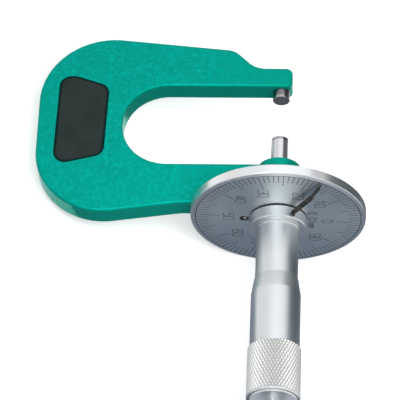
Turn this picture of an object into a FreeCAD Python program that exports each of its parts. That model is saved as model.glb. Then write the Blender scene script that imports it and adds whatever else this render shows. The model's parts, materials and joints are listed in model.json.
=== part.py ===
import FreeCAD
import Part
import math
import os

from FreeCAD import Vector

# Sheet metal micrometer for 0 to 25 mm, with a deep throat and a pointer that turns over a fixed dial.
# One turn of the thimble moves the spindle 1 mm, so each of the dial's 100 divisions is 0.01 mm.
# All sizes are millimetres. Each piece is built about the spindle's axis, which is the Z axis here, with
# the dial's face at height 0, the anvil above it and the thimble below it. The last section lays the
# finished instrument down on its back, as it comes to rest on a bench, and moves the origin to the
# middle of the floor below it.

# Measuring travel, and the gap between the measuring faces as it is shown
travel = 25.0
opening = 17.174
thread_pitch = 1.0

# Frame plate
plate_thickness = 8.8
plate_edge_round = 0.9
throat_depth = 58.8           # spindle axis to the far end of the throat
throat_height = 33.8
back_width = 31.8             # far end of the throat to the back edge
lower_arm_height = 16.8       # dial seat to the throat
upper_arm_height = 8.3        # at the anvil
arm_overhang = 4.2            # past the spindle's axis
arm_end_round = 2.5
heel_drop = 3.8               # the heel's lowest point below the dial seat
heel_radius = 26.0
heel_slope = 8.1
heel_blend = 20.0
crown_height = 20.9           # the crown's highest point above the throat
crown_radius = 27.5
crown_slope = 6.0
shoulder_reach = 17.8         # spindle axis to where the upper arm turns down
shoulder_slope = 44.5
shoulder_round = 7.0
shoulder_hollow = 9.0

# Spindle boss on the frame
boss_radius = 7.9
boss_stand = 0.9              # above the throat's lower edge
boss_edge_round = 0.6

# Grip pads, let into both faces of the plate
pad_inset = 7.3               # from the back edge
pad_width = 17.4
pad_below = 17.3              # below the middle of the throat
pad_above = 20.1              # above it
pad_lean = 0.75               # how far its sides lean towards the throat
pad_rise = 4.4                # how far its lower edge climbs
pad_fall = 4.1                # how far its upper edge drops after the knee
pad_knee = 6.5                # back side to the knee
pad_corner = 3.7
pad_knee_round = 3.3
pad_recess = 1.0
pad_stand = 0.45              # out of the plate's face
pad_gap = 0.5
pad_edge_bevel = 0.4

# Anvil and spindle
spindle_radius = 3.175
anvil_stand = 3.72            # out of the upper arm, with its tip
anvil_hold = 6.0              # length in the upper arm
tip_thickness = 1.2
tip_bevel = 0.15
thread_radius = 4.0
journal_radius = 3.0          # where the cone in the end cap starts
journal_end_radius = 2.0

# Fixed barrel that guides the spindle and ends in the split nut
barrel_radius = 5.8
barrel_hold = 13.0            # length inside the boss
guide_length = 27.0           # close bore for the plain part of the spindle
nut_length = 4.3              # length of the split taper
nut_taper = 0.6               # how much the radius falls over it
slit_width = 0.8
slit_length = 13.0
slit_count = 3
adjuster_radius = 7.2
adjuster_notch = 1.6          # width
adjuster_notch_depth = 1.0
washer_thickness = 1.0
washer_radius = 7.3

# Dial
dial_radius = 32.1
dial_thickness = 4.0
dial_flat_radius = 30.4       # where the rim's bevel starts
dial_bevel_depth = 0.35
dial_back_bevel = 0.4
dial_screw_reach = 12.34      # spindle axis to the screw
dial_screw_radius = 0.9
dial_screw_head_radius = 1.6
dial_screw_head_height = 1.0
dial_screw_length = 11.0
dial_screw_sink = 0.25
dial_screw_slot = 0.45         # width
dial_screw_slot_depth = 0.5

# Hub, sleeve and key: what turns with the pointer
hub_radius = 10.6
hub_height = 4.65
hub_bevel = 0.35
hub_foot_height = 0.35        # the undercut that makes a dark line above the dial
hub_foot_depth = 0.5
nose_radius = 8.5             # low step round the sleeve
nose_stand = 0.4
nose_bevel = 0.12
hub_flat = 0.1                # depth of the flat under the pointer's foot
spigot_radius = 6.9
hub_screw_radius = 1.25
hub_screw_length = 3.2
hub_screw_socket_radius = 0.6
hub_screw_socket_depth = 1.2
sleeve_radius = 7.75
collar_radius = 8.1           # bead at the sleeve's end, against the hub
collar_length = 0.15
sleeve_end = 44.0             # dial face to the sleeve's far end
key_width = 1.8
key_length = 4.0
key_stand = 0.5               # out of the sleeve
key_depth = 1.05              # into the sleeve

# Pointer
dial_zero_angle = -5.3        # where the dial's zero is, from the throat's open side to the front
pointer_sheet = 0.5
pointer_width = 2.0
pointer_tip_width = 1.2
pointer_end_width = 0.24
pointer_point = 1.4           # length of the pointed end
pointer_reach = 29.4
pointer_bend = 22.3           # spindle axis to where it turns down to the marks
pointer_narrow = 24.4         # spindle axis to where its narrow part starts
pointer_height = 2.2          # above the dial
pointer_tip_height = 0.35
pointer_foot = 1.1            # length of the foot on the hub's side
pointer_foot_width = 1.2
pointer_screw_radius = 0.3
pointer_screw_head_radius = 0.45
pointer_screw_head = 0.3
pointer_screw_length = 2.5

# Thimble and end cap
thimble_radius = 9.0
thimble_mouth_radius = 7.98
thimble_start = 25.7          # dial face to the thimble's mouth
thimble_bevel_length = 6.4
thimble_plain_length = 21.5
thimble_relief = 0.25         # depth of the groove before the knurl
thimble_relief_width = 0.5
knurl_radius = 9.7
knurl_length = 19.9
knurl_bevel = 0.5
groove_start = 4.3            # the key's groove starts this far inside the mouth
cap_radius = 8.2
cap_thickness = 3.7
cap_sink = 0.3                # below the thimble's end

# Ratchet stop
neck_radius = 2.3
neck_length = 3.3
stem_radius = 1.6
stem_screw_radius = 1.2
stem_screw_length = 6.0
tooth_count = 12
tooth_height = 0.4
wheel_radius = 3.6
wheel_thickness = 1.2
clutch_thickness = 1.35
lug_width = 1.1
lug_stand = 0.5               # out of the clutch's ring
lug_root = 0.5                # into it
knob_radius = 5.0
knob_length = 9.9
knob_bore_radius = 3.9
knob_wall = 2.0
knob_bevel = 0.5
knob_overlap = 0.3            # of the wheel that shows in front of the knob
end_recess_depth = 1.0
end_recess_radius = 2.8
end_screw_head_radius = 2.5
end_screw_head_height = 0.8
end_screw_radius = 0.9
end_screw_length = 4.0
end_screw_slot = 0.6          # width
end_screw_slot_depth = 0.4
spring_radius = 2.9
spring_wire = 0.6             # side of its square wire
spring_turns = 4

# Clearances
seat_gap = 0.01               # pressed and screwed seats
slide_gap = 0.03              # spindle in its guide
thread_gap = 0.05             # screw thread in the nut
turn_gap = 0.04               # sleeve on the barrel
thimble_gap = 0.07            # thimble on the sleeve
key_gap = 0.05                # key in its groove
face_gap = 0.1                # turning faces
screw_head_gap = 0.15         # round a sunk screw's head
ratchet_gap = 0.3             # loose pieces inside the ratchet
tooth_gap = 0.05
cut_past = 1.0                # how far a cutter runs past what it cuts
touch = 1e-4                  # nearer than this is the same place

# Heights along the axis
seat = dial_thickness
throat_low = seat + lower_arm_height
throat_high = throat_low + throat_height
throat_middle = (throat_low + throat_high) / 2
boss_top = throat_low + boss_stand
frame_top = throat_high + crown_height
arm_top = throat_high + upper_arm_height
barrel_top = seat + barrel_hold
anvil_face = throat_high - anvil_stand
spindle_face = anvil_face - opening
hub_low = -face_gap - hub_height
nose_low = hub_low - nose_stand
collar_high = nose_low + nose_bevel - seat_gap
collar_low = collar_high - collar_length
washer_high = -sleeve_end - face_gap
adjuster_high = washer_high - washer_thickness - seat_gap
barrel_low = adjuster_high - nut_length
thimble_high = -thimble_start
knurl_high = thimble_high - thimble_bevel_length - thimble_plain_length - thimble_relief_width
thimble_low = knurl_high - knurl_length
cap_low = thimble_low + cap_sink
cap_high = cap_low + cap_thickness
neck_low = cap_low - neck_length
wheel_low = neck_low - wheel_thickness
clutch_high = wheel_low - tooth_height - tooth_gap
clutch_low = clutch_high - clutch_thickness
knob_high = neck_low - knob_overlap
knob_low = knob_high - knob_length
end_recess = knob_low + end_recess_depth
knob_floor = knob_low + knob_wall

# Places across the axis
frame_back = -(throat_depth + back_width)
back_side = Vector(0, 1, 0)
pointer_turn = -(dial_zero_angle + 360 * (opening % thread_pitch) / thread_pitch)
frame_face = plate_thickness / 2
bore_guide = spindle_radius + slide_gap
bore_thread = thread_radius + thread_gap
thimble_bore = sleeve_radius + thimble_gap


def unit(start, end):
    return (end - start).normalize()


def rounded_wire(corners):
    """A closed wire through (x, z, radius) corners: straight runs joined by tangent arcs."""
    places = [Vector(x, 0, z) for x, z, radius in corners]
    edges = []
    ends = []
    for i, (x, z, radius) in enumerate(corners):
        corner = places[i]
        back = unit(corner, places[i - 1])
        ahead = unit(corner, places[(i + 1) % len(places)])
        half = back.getAngle(ahead) / 2
        trim = radius / math.tan(half)
        start = corner + back * trim
        end = corner + ahead * trim
        if radius > 0:
            middle = (back + ahead).normalize() * (radius / math.sin(half) - radius)
            edges.append(Part.Arc(start, corner + middle, end).toShape())
        ends.append((start, end))
    for i, (start, end) in enumerate(ends):
        following = ends[(i + 1) % len(ends)][0]
        if end.distanceToPoint(following) > touch:
            edges.append(Part.LineSegment(end, following).toShape())
    return Part.Wire(Part.__sortEdges__(edges))


def slab(corners, near, far):
    """The outline given by the corners, solid between two depths across the plate."""
    solid = Part.Face(rounded_wire(corners)).extrude(Vector(0, far - near, 0))
    solid.translate(Vector(0, near, 0))
    return solid


def turned(profile):
    """A solid turned about the spindle's axis from its (radius, height) outline."""
    points = [Vector(radius, 0, height) for radius, height in profile]
    face = Part.Face(Part.makePolygon(points + points[:1]))
    return face.revolve(Vector(0, 0, 0), Vector(0, 0, 1), 360)


def rod(radius, low, high):
    return Part.makeCylinder(radius, high - low, Vector(0, 0, low))


def ring(outer, inner, low, high):
    return rod(outer, low, high).cut(rod(inner, low, high))


def bar(x_low, x_high, width, low, high):
    """A block centred across the X axis."""
    return Part.makeBox(x_high - x_low, width, high - low, Vector(x_low, -width / 2, low))


def swung(solid, degrees):
    """The solid, turned about the spindle's axis."""
    return solid.rotated(Vector(0, 0, 0), Vector(0, 0, 1), degrees)


def edges_in_plane(solid, direction, height):
    """The solid's edges that lie flat at one height along a direction."""
    return [
        edge for edge in solid.Edges
        if all(abs(vertex.Point.dot(direction) - height) < touch for vertex in edge.Vertexes)
        and abs(edge.CenterOfMass.dot(direction) - height) < touch
    ]


# Frame

def frame_corners():
    heel = math.radians(heel_slope)
    crown = math.radians(crown_slope)
    shoulder = math.radians(shoulder_slope)
    heel_corner = seat - heel_drop + heel_radius * (1 - (1 + math.sin(heel)) / math.cos(heel))
    crown_corner = frame_top - crown_radius * (1 - (1 + math.sin(crown)) / math.cos(crown))
    heel_end = frame_back + (seat - heel_corner) / math.tan(heel)
    shoulder_high = crown_corner - math.tan(crown) * (-shoulder_reach - frame_back)
    shoulder_end = -shoulder_reach + (shoulder_high - arm_top) / math.tan(shoulder)
    throat_round = throat_height / 2
    return [
        (frame_back, heel_corner, heel_radius),
        (frame_back, crown_corner, crown_radius),
        (-shoulder_reach, shoulder_high, shoulder_round),
        (shoulder_end, arm_top, shoulder_hollow),
        (arm_overhang, arm_top, arm_end_round),
        (arm_overhang, throat_high, arm_end_round),
        (-throat_depth, throat_high, throat_round),
        (-throat_depth, throat_low, throat_round),
        (0, throat_low, 0),
        (0, seat, 0),
        (heel_end, seat, heel_blend),
    ]


def pad_corners(gap=0.0):
    left = frame_back + pad_inset - gap
    right = frame_back + pad_inset + pad_width + gap
    low = throat_middle - pad_below - gap
    high = throat_middle + pad_above + gap
    return [
        (left, low, pad_corner + gap),
        (left + pad_lean, high, pad_corner + gap),
        (left + pad_knee, high, pad_knee_round),
        (right + pad_lean, high - pad_fall, pad_corner + gap),
        (right, low + pad_rise, pad_corner + gap),
    ]


def pad():
    """A grip pad for the front face, with its outer edge bevelled."""
    front = -frame_face - pad_stand
    solid = slab(pad_corners(), front, -frame_face + pad_recess)
    return solid.makeChamfer(pad_edge_bevel, edges_in_plane(solid, back_side, front))


def other_side(solid):
    return solid.mirror(Vector(0, 0, 0), back_side)


def frame():
    plate = slab(frame_corners(), -frame_face, frame_face)
    outline = edges_in_plane(plate, back_side, -frame_face) + edges_in_plane(plate, back_side, frame_face)
    plate = plate.makeFillet(plate_edge_round, outline)
    boss = rod(boss_radius, seat, boss_top)
    boss = boss.makeFillet(boss_edge_round, edges_in_plane(boss, Vector(0, 0, 1), boss_top))
    body = plate.fuse(boss)
    recess = slab(pad_corners(pad_gap), -frame_face - pad_stand, -frame_face + pad_recess)
    cuts = [
        recess,
        other_side(recess),
        rod(barrel_radius + seat_gap, seat - cut_past, barrel_top + seat_gap),
        rod(bore_guide, seat, boss_top + cut_past),
        rod(spindle_radius + seat_gap, throat_high - cut_past, throat_high + anvil_hold + seat_gap),
        dial_screw_hole(dial_screw_radius + seat_gap, seat - cut_past, dial_screw_length + cut_past),
    ]
    return body.cut(cuts)


def dial_screw_hole(radius, low, high):
    hole = rod(radius, low, high)
    hole.translate(Vector(-dial_screw_reach, 0, 0))
    return hole


# Anvil, barrel and nut

def tipped_rod(radius, face, away):
    """The hard-metal tip at a measuring face; away is +1 or -1, from the face into the metal."""
    return turned([
        (0, face),
        (radius - tip_bevel, face),
        (radius, face + away * tip_bevel),
        (radius, face + away * tip_thickness),
        (0, face + away * tip_thickness),
    ])


def anvil():
    return rod(spindle_radius, anvil_face + tip_thickness, throat_high + anvil_hold)


def nut_radius(height):
    """The split taper's radius at a height between its two ends."""
    return barrel_radius - nut_taper * (adjuster_high - height) / nut_length


def nut_barrel():
    guide_low = barrel_top - guide_length
    body = turned([
        (bore_guide, barrel_top),
        (barrel_radius, barrel_top),
        (barrel_radius, adjuster_high),
        (nut_radius(barrel_low), barrel_low),
        (bore_thread, barrel_low),
        (bore_thread, guide_low),
        (bore_guide, guide_low),
    ])
    slit = bar(0, barrel_radius + cut_past, slit_width, barrel_low - cut_past, barrel_low + slit_length)
    return body.cut([swung(slit, 360 * i / slit_count) for i in range(slit_count)])


def adjusting_nut():
    body = turned([
        (nut_radius(adjuster_high) + slide_gap, adjuster_high),
        (adjuster_radius, adjuster_high),
        (adjuster_radius, barrel_low),
        (nut_radius(barrel_low) + slide_gap, barrel_low),
    ])
    reach = adjuster_radius + cut_past
    low = barrel_low - cut_past
    return body.cut(bar(-reach, reach, adjuster_notch, low, barrel_low + adjuster_notch_depth))


def thrust_washer():
    return ring(washer_radius, barrel_radius + turn_gap, washer_high - washer_thickness, washer_high)


# Dial

def dial_disc():
    head_seat = dial_screw_sink + dial_screw_head_height
    body = turned([
        (barrel_radius + seat_gap, 0),
        (dial_flat_radius, 0),
        (dial_radius, dial_bevel_depth),
        (dial_radius, dial_thickness - dial_back_bevel),
        (dial_radius - dial_back_bevel, dial_thickness),
        (barrel_radius + seat_gap, dial_thickness),
    ])
    return body.cut([
        dial_screw_hole(dial_screw_radius + seat_gap, -cut_past, dial_thickness + cut_past),
        dial_screw_hole(dial_screw_head_radius + screw_head_gap, -cut_past, head_seat),
    ])


def dial_screw():
    head_seat = dial_screw_sink + dial_screw_head_height
    screw = rod(dial_screw_head_radius, dial_screw_sink, head_seat)
    screw = screw.fuse(rod(dial_screw_radius, head_seat, dial_screw_length))
    slot_end = dial_screw_sink + dial_screw_slot_depth
    screw = screw.cut(bar(-dial_screw_head_radius, dial_screw_head_radius, dial_screw_slot, 0, slot_end))
    screw.translate(Vector(-dial_screw_reach, 0, 0))
    return screw


# Hub, sleeve and key

def hub():
    foot_radius = hub_radius - hub_foot_depth
    foot_low = -face_gap - hub_foot_height
    body = turned([
        (spigot_radius + seat_gap, -face_gap),
        (foot_radius, -face_gap),
        (foot_radius, foot_low),
        (hub_radius, foot_low),
        (hub_radius, hub_low + hub_bevel),
        (hub_radius - hub_bevel, hub_low),
        (nose_radius, hub_low),
        (nose_radius, nose_low),
        (collar_radius + nose_bevel, nose_low),
        (collar_radius, nose_low + nose_bevel),
        (spigot_radius + seat_gap, nose_low + nose_bevel),
    ])
    flat = bar(hub_radius - hub_flat, hub_radius + cut_past, pointer_width + 2 * key_gap,
               hub_low - cut_past, 0)
    return body.cut([
        swung(flat, pointer_turn),
        pointer_screw_rod(pointer_screw_radius + seat_gap),
        hub_screw_rod(hub_screw_radius + seat_gap, hub_radius + cut_past),
    ])


def hub_screw_rod(radius, reach):
    """A rod across the hub, opposite the pointer, from the sleeve's spigot outwards."""
    start = spigot_radius + seat_gap
    middle = -face_gap - hub_height / 2
    screw = Part.makeCylinder(radius, reach - start, Vector(start, 0, middle), Vector(1, 0, 0))
    return swung(screw, pointer_turn + 180)


def hub_screw():
    end = spigot_radius + hub_screw_length
    start = Vector(end - hub_screw_socket_depth, 0, -face_gap - hub_height / 2)
    socket = Part.makeCylinder(hub_screw_socket_radius, hub_screw_socket_depth, start, Vector(1, 0, 0))
    return hub_screw_rod(hub_screw_radius, end).cut(swung(socket, pointer_turn + 180))


def key_box(gap, low, high):
    """The drive key's block on the back of the sleeve, larger all round by a gap."""
    inner = sleeve_radius - key_depth - gap
    outer = sleeve_radius + key_stand + gap
    return swung(bar(inner, outer, key_width + 2 * gap, low, high), 90)


def drive_sleeve():
    body = turned([
        (barrel_radius + turn_gap, -face_gap),
        (spigot_radius, -face_gap),
        (spigot_radius, collar_high),
        (collar_radius, collar_high),
        (collar_radius, collar_low),
        (sleeve_radius, collar_low - (collar_radius - sleeve_radius)),
        (sleeve_radius, -sleeve_end),
        (barrel_radius + turn_gap, -sleeve_end),
    ])
    return body.cut(key_box(seat_gap, -sleeve_end - cut_past, -sleeve_end + key_length + seat_gap))


def drive_key():
    return key_box(0, -sleeve_end, -sleeve_end + key_length)


# Pointer

def pointer_screw_rod(radius):
    length = pointer_screw_length + pointer_sheet
    start = hub_radius - hub_flat - pointer_screw_length
    screw = Part.makeCylinder(radius, length, Vector(start, 0, pointer_screw_height()), Vector(1, 0, 0))
    return swung(screw, pointer_turn)


def pointer_screw_height():
    return -pointer_height - pointer_sheet - pointer_foot / 2


def pointer():
    root = hub_radius - hub_flat
    high = -pointer_height
    tip_high = -pointer_tip_height
    side = [
        (root, high),
        (pointer_bend, high),
        (pointer_reach, tip_high),
        (pointer_reach, tip_high - pointer_sheet),
        (pointer_bend, high - pointer_sheet),
        (root + pointer_sheet, high - pointer_sheet),
        (root + pointer_sheet, high - pointer_sheet - pointer_foot),
        (root, high - pointer_sheet - pointer_foot),
    ]
    points = [Vector(x, -pointer_width / 2, z) for x, z in side]
    sheet = Part.Face(Part.makePolygon(points + points[:1])).extrude(Vector(0, pointer_width, 0))
    half = [
        (root, pointer_foot_width / 2),
        (root + pointer_sheet, pointer_foot_width / 2),
        (root + pointer_sheet, pointer_width / 2),
        (pointer_bend, pointer_width / 2),
        (pointer_narrow, pointer_tip_width / 2),
        (pointer_reach - pointer_point, pointer_tip_width / 2),
        (pointer_reach, pointer_end_width / 2),
    ]
    edge = [Vector(x, y, hub_low) for x, y in half] + [Vector(x, -y, hub_low) for x, y in reversed(half)]
    plan = Part.Face(Part.makePolygon(edge + edge[:1])).extrude(Vector(0, 0, -hub_low))
    hand = swung(sheet.common(plan), pointer_turn)
    return hand.cut(pointer_screw_rod(pointer_screw_radius + seat_gap))


def pointer_screw():
    start = hub_radius - hub_flat + pointer_sheet
    head = Part.makeCylinder(pointer_screw_head_radius, pointer_screw_head,
                             Vector(start, 0, pointer_screw_height()), Vector(1, 0, 0))
    return pointer_screw_rod(pointer_screw_radius).fuse(swung(head, pointer_turn))


# Spindle and thimble

def spindle():
    """Plain measuring end, threaded middle and a cone that holds the end cap."""
    thread_high = barrel_low + nut_length + travel - opening + nut_length
    body = turned([
        (0, spindle_face - tip_thickness),
        (spindle_radius, spindle_face - tip_thickness),
        (spindle_radius, thread_high),
        (thread_radius, thread_high - (thread_radius - spindle_radius)),
        (thread_radius, cap_high + seat_gap),
        (journal_radius, cap_high + seat_gap),
        (journal_end_radius, cap_low + seat_gap),
        (0, cap_low + seat_gap),
    ])
    hole_end = cap_low + stem_screw_length + seat_gap
    return body.cut(rod(stem_screw_radius + seat_gap, cap_low - cut_past, hole_end))


def thimble():
    bevel_end = thimble_high - thimble_bevel_length
    plain_end = bevel_end - thimble_plain_length
    body = turned([
        (thimble_bore, thimble_high),
        (thimble_mouth_radius, thimble_high),
        (thimble_radius, bevel_end),
        (thimble_radius, plain_end),
        (thimble_radius - thimble_relief, plain_end),
        (thimble_radius - thimble_relief, knurl_high),
        (knurl_radius - knurl_bevel / 2, knurl_high),
        (knurl_radius, knurl_high - knurl_bevel / 2),
        (knurl_radius, thimble_low + knurl_bevel),
        (knurl_radius - knurl_bevel, thimble_low),
        (cap_radius + seat_gap, thimble_low),
        (cap_radius + seat_gap, cap_high),
        (thimble_bore, cap_high),
    ])
    return body.cut(key_box(key_gap, cap_high - cut_past, thimble_high - groove_start))


def end_cap():
    return turned([
        (journal_radius + seat_gap, cap_high),
        (cap_radius, cap_high),
        (cap_radius, cap_low),
        (journal_end_radius + seat_gap, cap_low),
    ])


# Ratchet stop

def wedge(start, end, inner, outer, heights):
    """One ratchet tooth: part of a turn, with a (low, high) pair of heights at each side."""
    corners = {}
    for side, degrees in enumerate((start, end)):
        angle = math.radians(degrees)
        for reach, radius in enumerate((inner, outer)):
            for level in (0, 1):
                place = Vector(radius * math.cos(angle), radius * math.sin(angle), heights[side][level])
                corners[side, reach, level] = place
    patches = [
        [(0, 0, 0), (0, 1, 0), (1, 1, 0)],
        [(0, 0, 0), (1, 1, 0), (1, 0, 0)],
        [(0, 0, 1), (0, 1, 1), (1, 1, 1)],
        [(0, 0, 1), (1, 1, 1), (1, 0, 1)],
        [(0, 0, 0), (1, 0, 0), (1, 0, 1), (0, 0, 1)],
        [(0, 1, 0), (1, 1, 0), (1, 1, 1), (0, 1, 1)],
        [(0, 0, 0), (0, 1, 0), (0, 1, 1), (0, 0, 1)],
        [(1, 0, 0), (1, 1, 0), (1, 1, 1), (1, 0, 1)],
    ]
    faces = []
    for patch in patches:
        outline = []
        for name in patch:
            if all(corners[name].distanceToPoint(point) > touch for point in outline):
                outline.append(corners[name])
        if len(outline) > 2:
            faces.append(Part.Face(Part.makePolygon(outline + outline[:1])))
    return Part.Solid(Part.Shell(faces))


def ratchet_wheel():
    """Saw-toothed face wheel on the stem; its teeth point towards the knob's end."""
    step = 360 / tooth_count
    inner = stem_radius + ratchet_gap
    disc = ring(wheel_radius, stem_radius + seat_gap, wheel_low, neck_low)
    root = wheel_low + tooth_gap
    teeth = [
        wedge(i * step, (i + 1) * step - 1, inner, wheel_radius,
              [(wheel_low, root), (wheel_low - tooth_height, root)])
        for i in range(tooth_count)
    ]
    return disc.fuse(teeth).removeSplitter()


def ratchet_clutch():
    """Sprung ring whose teeth fit the wheel's, with two lugs that slide in the knob."""
    step = 360 / tooth_count
    inner = stem_radius + ratchet_gap
    disc = ring(wheel_radius, inner, clutch_low, clutch_high)
    lug = bar(-wheel_radius - lug_stand, wheel_radius + lug_stand, lug_width, clutch_low, clutch_high)
    lugs = lug.cut(rod(wheel_radius - lug_root, clutch_low, clutch_high))
    root = clutch_high - tooth_gap
    teeth = [
        wedge(i * step, (i + 1) * step - 1, inner, wheel_radius,
              [(root, clutch_high + tooth_height), (root, clutch_high)])
        for i in range(tooth_count)
    ]
    return disc.fuse([lugs] + teeth).removeSplitter()


def ratchet_stem():
    stem_end = end_recess + 2 * seat_gap
    stem = rod(stem_screw_radius, cap_low - seat_gap, cap_low + stem_screw_length)
    stem = stem.fuse([rod(neck_radius, neck_low, cap_low - seat_gap), rod(stem_radius, stem_end, neck_low)])
    hole_end = stem_end + end_screw_length + seat_gap
    return stem.cut(rod(end_screw_radius + seat_gap, stem_end - cut_past, hole_end))


def ratchet_screw():
    stem_end = end_recess + 2 * seat_gap
    head_high = stem_end - 3 * seat_gap
    head_low = head_high - end_screw_head_height
    head = rod(end_screw_head_radius, head_low, head_high)
    shank = rod(end_screw_radius, head_high, stem_end + end_screw_length)
    slot = bar(-end_screw_head_radius, end_screw_head_radius, end_screw_slot,
               head_low, head_low + end_screw_slot_depth)
    return head.fuse(shank).cut(slot)


def ratchet_knob():
    body = turned([
        (knob_bore_radius, knob_high),
        (knob_radius - knob_bevel, knob_high),
        (knob_radius, knob_high - knob_bevel),
        (knob_radius, knob_low + knob_bevel),
        (knob_radius - knob_bevel, knob_low),
        (end_recess_radius, knob_low),
        (end_recess_radius, end_recess),
        (stem_radius + face_gap, end_recess),
        (stem_radius + face_gap, knob_floor),
        (knob_bore_radius, knob_floor),
    ])
    reach = wheel_radius + lug_stand + face_gap
    slot_low = clutch_low - tooth_height - face_gap
    return body.cut(bar(-reach, reach, lug_width + face_gap, slot_low, knob_high + cut_past))


def ratchet_spring():
    """A coil of square wire, as half turns that are each an arc in its own tilted plane."""
    half = spring_wire / 2
    low = knob_floor + half + seat_gap
    high = clutch_low - half - seat_gap
    rise = (high - low) / (2 * spring_turns)
    arcs = []
    for i in range(2 * spring_turns):
        side = 1 if i % 2 == 0 else -1
        start = Vector(side * spring_radius, 0, low + i * rise)
        middle = Vector(0, side * spring_radius, low + (i + 0.5) * rise)
        end = Vector(-side * spring_radius, 0, low + (i + 1) * rise)
        arcs.append(Part.Arc(start, middle, end).toShape())
    corners = [
        Vector(spring_radius + across, 0, low + up)
        for across, up in ((-half, -half), (half, -half), (half, half), (-half, half))
    ]
    section = Part.makePolygon(corners + corners[:1])
    return Part.Wire(arcs).makePipeShell([section], True, False)


# The instrument lies on its back, on the dial's rim and on the back edge of the plate, so it only turns
# about the spindle's axis. The spindle then lies along +Y, and the anvil is at the +Y end.

def lean_angle():
    """How far the plate leans: the dial's rim and the rounded back edge touch the same floor."""
    across = -frame_back - plate_edge_round
    down = frame_face - plate_edge_round
    drop = math.asin((dial_radius - plate_edge_round) / math.hypot(across, down))
    return math.degrees(drop - math.atan2(down, across))


def laid_down():
    lay = FreeCAD.Rotation(Vector(1, 0, 0), -90)
    lean = FreeCAD.Rotation(Vector(0, 1, 0), -lean_angle())
    return FreeCAD.Placement(Vector(0, 0, 0), lean.multiply(lay))


def build():
    return {
        "frame": frame(),
        "front_pad": pad(),
        "back_pad": other_side(pad()),
        "anvil": anvil(),
        "anvil_tip": tipped_rod(spindle_radius, anvil_face, 1),
        "nut_barrel": nut_barrel(),
        "adjusting_nut": adjusting_nut(),
        "thrust_washer": thrust_washer(),
        "dial_disc": dial_disc(),
        "dial_screw": dial_screw(),
        "hub": hub(),
        "hub_screw": hub_screw(),
        "drive_sleeve": drive_sleeve(),
        "drive_key": drive_key(),
        "pointer": pointer(),
        "pointer_screw": pointer_screw(),
        "spindle": spindle(),
        "spindle_tip": tipped_rod(spindle_radius, spindle_face, -1),
        "thimble": thimble(),
        "end_cap": end_cap(),
        "ratchet_stem": ratchet_stem(),
        "ratchet_wheel": ratchet_wheel(),
        "ratchet_screw": ratchet_screw(),
        "ratchet_knob": ratchet_knob(),
        "ratchet_clutch": ratchet_clutch(),
        "ratchet_spring": ratchet_spring(),
    }


def main():
    pieces = build()
    placement = laid_down()
    for solid in pieces.values():
        solid.Placement = placement.multiply(solid.Placement)
    box = Part.makeCompound(list(pieces.values())).optimalBoundingBox(False, False)
    floor_middle = Vector(box.Center.x, box.Center.y, box.ZMin)
    os.makedirs("parts", exist_ok=True)
    for name, solid in pieces.items():
        solid.translate(-floor_middle)
        solid.exportStep("parts/" + name + ".step")
    axis = -floor_middle
    print("spindle axis through", round(axis.x, 3), round(axis.y, 3), round(axis.z, 3))
    print("lean", round(lean_angle(), 4))


main()
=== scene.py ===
import json
import math

import bmesh
import bpy
from mathutils import Matrix, Vector, geometry


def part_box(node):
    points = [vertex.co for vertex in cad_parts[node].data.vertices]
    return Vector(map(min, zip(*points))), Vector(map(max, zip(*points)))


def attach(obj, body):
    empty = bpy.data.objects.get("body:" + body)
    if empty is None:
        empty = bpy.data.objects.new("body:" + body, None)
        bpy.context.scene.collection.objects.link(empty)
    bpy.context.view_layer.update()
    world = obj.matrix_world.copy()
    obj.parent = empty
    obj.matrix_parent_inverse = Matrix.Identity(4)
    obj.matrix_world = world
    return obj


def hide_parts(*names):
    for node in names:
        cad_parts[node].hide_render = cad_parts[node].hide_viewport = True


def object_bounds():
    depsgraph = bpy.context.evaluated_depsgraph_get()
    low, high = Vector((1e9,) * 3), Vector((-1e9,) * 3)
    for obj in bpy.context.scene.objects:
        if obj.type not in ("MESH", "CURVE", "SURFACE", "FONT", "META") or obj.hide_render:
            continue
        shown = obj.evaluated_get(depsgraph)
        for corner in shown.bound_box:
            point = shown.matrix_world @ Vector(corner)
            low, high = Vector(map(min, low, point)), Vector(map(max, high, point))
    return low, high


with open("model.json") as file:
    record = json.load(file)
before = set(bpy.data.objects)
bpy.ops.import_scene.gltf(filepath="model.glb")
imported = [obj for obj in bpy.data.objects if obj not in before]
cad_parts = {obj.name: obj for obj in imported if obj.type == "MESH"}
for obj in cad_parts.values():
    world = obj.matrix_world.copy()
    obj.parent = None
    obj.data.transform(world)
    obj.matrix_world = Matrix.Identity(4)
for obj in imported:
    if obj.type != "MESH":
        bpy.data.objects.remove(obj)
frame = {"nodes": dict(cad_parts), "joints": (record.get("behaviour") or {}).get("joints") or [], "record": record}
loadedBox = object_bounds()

# Sheet metal micrometer, lying on its back on a pale bench. Blender works in metres; the sizes of the
# pieces are millimetres, and mm brings them to metres. The bench, cards and lamps are in metres.
mm = 0.001
nodes = frame["nodes"]
record = frame["record"]

# The instrument's own directions, from the record: the spindle's axis and the way the front looks
turnJoint = frame["joints"][0]
axisPlace = Vector(turnJoint["pos_m"])
along = Vector(turnJoint["axis"])  # towards the anvil
frontFace = next(m for m in record["mounts"] if m["name"] == "stand_jaw_front")
forward = Vector(frontFace["axis"]).normalized()  # out of the frame's front face
sideways = along.cross(forward)  # towards the throat's open side
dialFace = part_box("dial_disc")[0].y
dialCentre = Vector((axisPlace.x, dialFace, axisPlace.z))


# x runs to the open side, y to the back and depth into the dial, all in mm
def dialPlace(x, y, depth):
    return dialCentre + (sideways * x - forward * y + along * depth) * mm


# Small helpers for shader trees

def newMaterial(name):
    mat = bpy.data.materials.new(name)
    mat.use_nodes = True
    tree = mat.node_tree
    tree.nodes.clear()
    out = tree.nodes.new("ShaderNodeOutputMaterial")
    shader = tree.nodes.new("ShaderNodeBsdfPrincipled")
    tree.links.new(shader.outputs["BSDF"], out.inputs["Surface"])
    return mat, tree, shader


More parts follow.
